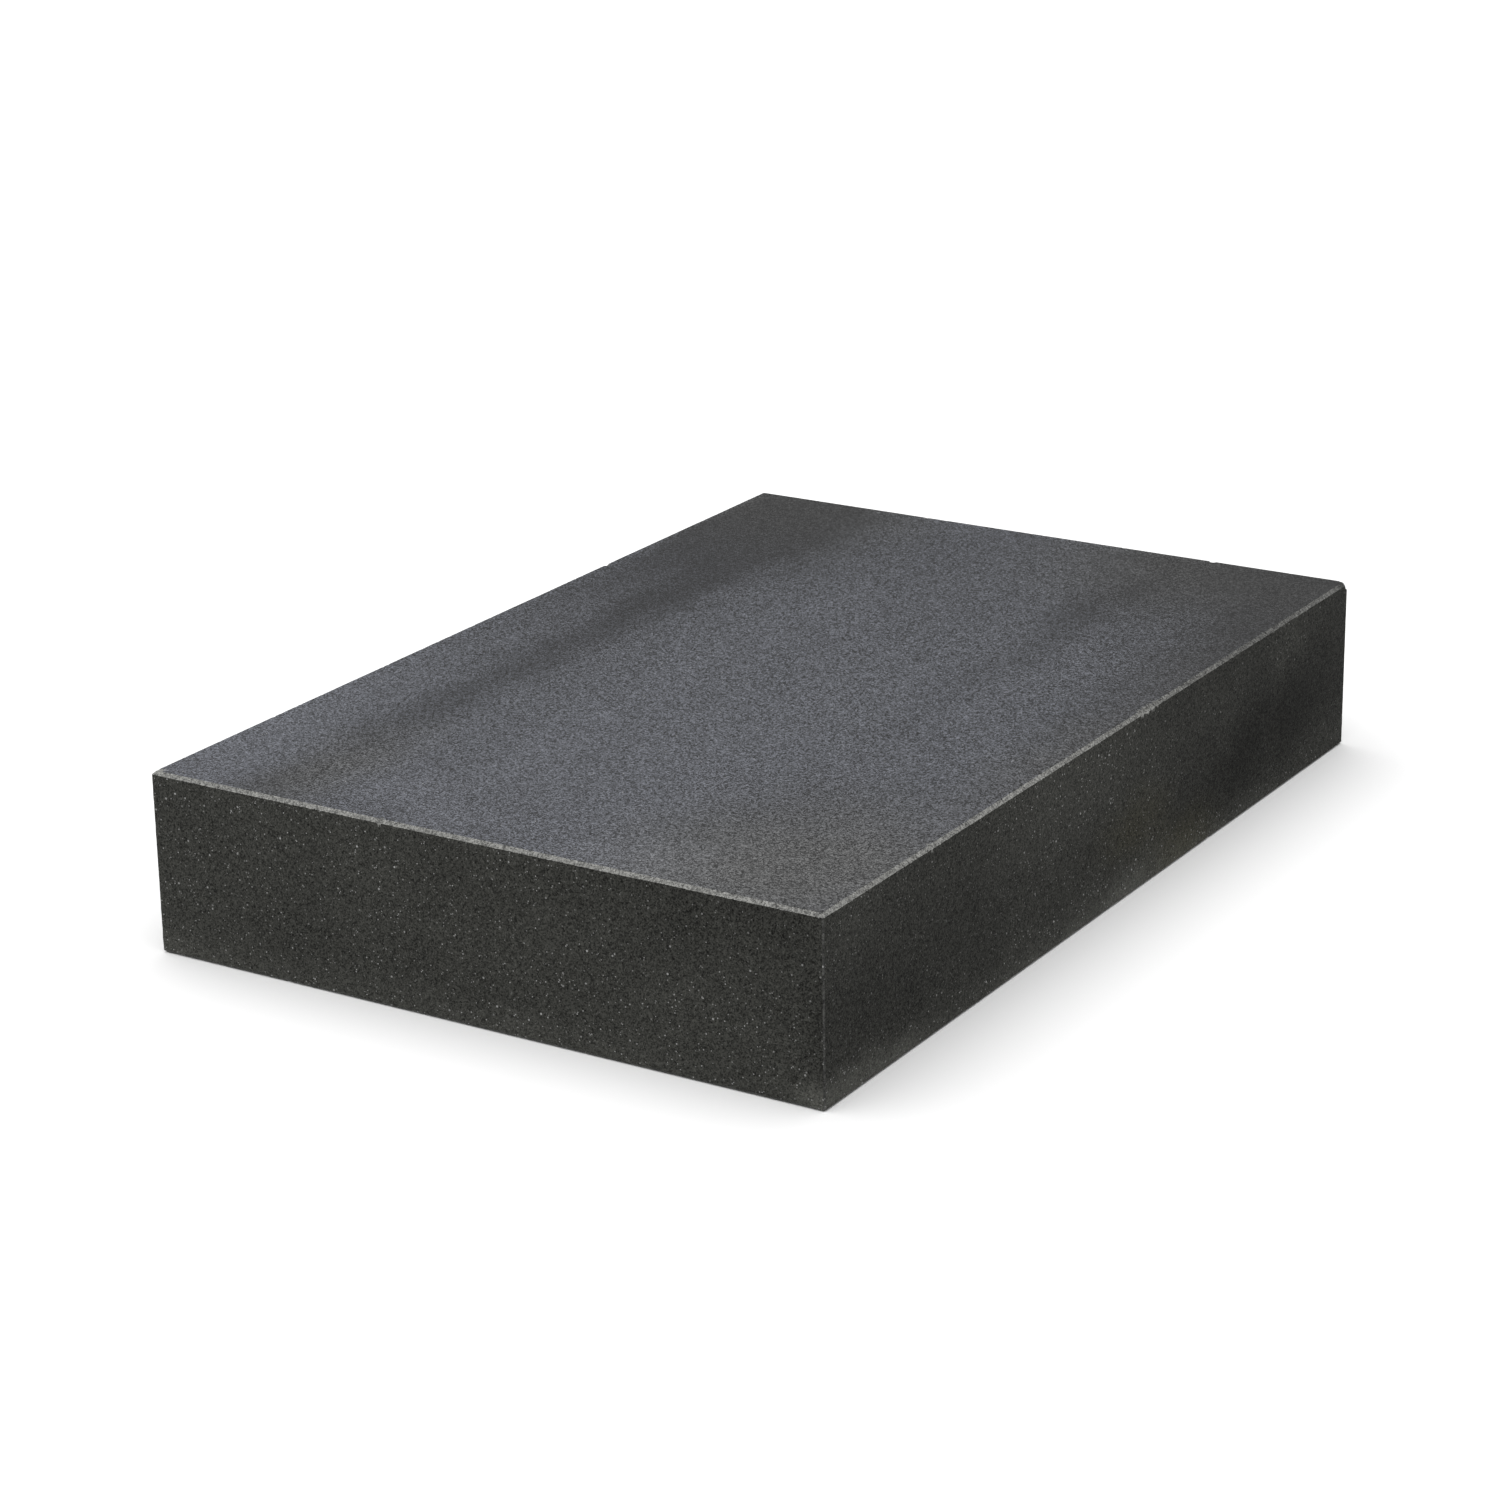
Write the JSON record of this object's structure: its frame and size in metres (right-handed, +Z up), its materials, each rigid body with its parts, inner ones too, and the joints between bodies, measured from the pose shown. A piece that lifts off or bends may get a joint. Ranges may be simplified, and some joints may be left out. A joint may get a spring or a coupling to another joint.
{
  "type": "granite slab",
  "caption": "Thick rectangular slab of dark granite with a flat honed top and a narrow chamfer round it, used as a solid surface for stamping, carving and beating leather.",
  "frame": {"origin": "middle of the underside, on the surface that the slab stands on", "axes": "+Z up, out of the honed working face; +Y along the slab's long sides; +X across it"},
  "size_m": [0.3048, 0.4572, 0.0762],
  "materials": {
    "granite": "satin"
  },
  "bodies": {
    "root": {"granite_slab": "granite"}
  },
  "joints": []
}
